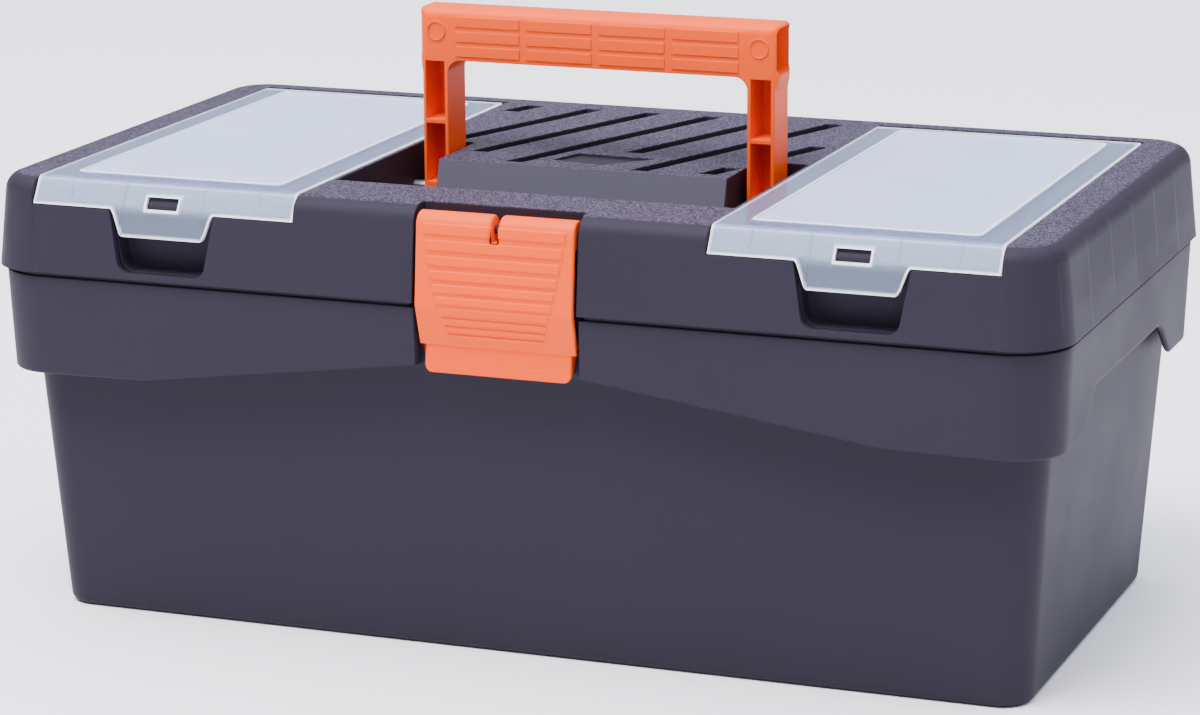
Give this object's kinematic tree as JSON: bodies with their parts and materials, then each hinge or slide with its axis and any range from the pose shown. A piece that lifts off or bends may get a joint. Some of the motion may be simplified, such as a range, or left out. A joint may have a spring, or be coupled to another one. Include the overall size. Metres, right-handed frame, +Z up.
{
  "type": "toolbox with tray",
  "caption": "Moulded-plastic toolbox with hinged lid, fold-down bail handle, front latch, clear-covered small-parts bins and a lift-out tray.",
  "frame": {"origin": "on the floor, under the middle of the closed box with its handle upright", "axes": "+X to the right along the box's length, +Y to the hinges at the back, +Z up"},
  "size_m": [0.41, 0.2278, 0.2236],
  "materials": {
    "tub_plastic": "fine grained moulded polypropylene",
    "lid_plastic": "fine grained moulded polypropylene, coarser grain on top",
    "orange_plastic": "satin moulded polypropylene",
    "clear_cover": "clear styrene with a frosted panel",
    "steel_pin": "plain drawn wire",
    "tray_plastic": "fine grained moulded polypropylene"
  },
  "bodies": {
    "tub": {"tub": "tub_plastic", "lid_hinge_pin_left": "steel_pin", "lid_hinge_pin_right": "steel_pin"},
    "lid": {"lid": "lid_plastic", "latch_pin": "lid_plastic", "handle_pin_left": "steel_pin", "handle_pin_right": "steel_pin", "cover_pin_left": "steel_pin", "cover_pin_right": "steel_pin", "divider_left_front": "tray_plastic", "divider_left_back": "tray_plastic", "divider_right_front": "tray_plastic", "divider_right_back": "tray_plastic"},
    "latch": {"latch": "orange_plastic"},
    "handle": {"handle": "orange_plastic"},
    "cover_left": {"cover_left": "clear_cover"},
    "cover_right": {"cover_right": "clear_cover"},
    "tray": {"tray": "tray_plastic", "tray_grip": "orange_plastic", "tray_divider_left": "tray_plastic", "tray_divider_middle": "tray_plastic", "tray_divider_right": "tray_plastic"}
  },
  "joints": [
    {"name": "lid_hinge", "type": "hinge", "parent": "tub", "child": "lid", "pos_m": [0, 0.111, 0.134], "axis": [-1, 0, 0], "range_deg": [0, 100]},
    {"name": "tray_lift", "type": "slide", "parent": "tub", "child": "tray", "axis": [0, 0, 1], "range_m": [0, 0.076]},
    {"name": "latch_hinge", "type": "hinge", "parent": "lid", "child": "latch", "pos_m": [0, -0.1044, 0.162], "axis": [-1, 0, 0], "range_deg": [0, 95]},
    {"name": "handle_fold", "type": "hinge", "parent": "lid", "child": "handle", "pos_m": [0, -0.00145, 0.153], "axis": [1, 0, 0], "range_deg": [0, 90]},
    {"name": "cover_left_hinge", "type": "hinge", "parent": "lid", "child": "cover_left", "pos_m": [-0.131, 0.089, 0.1656], "axis": [-1, 0, 0], "range_deg": [0, 100]},
    {"name": "cover_right_hinge", "type": "hinge", "parent": "lid", "child": "cover_right", "pos_m": [0.131, 0.089, 0.1656], "axis": [-1, 0, 0], "range_deg": [0, 100]}
  ],
  "couplings": [
    {"joint": "tray_lift", "follows": "lid_hinge", "m_per_rad": 0.043}
  ]
}
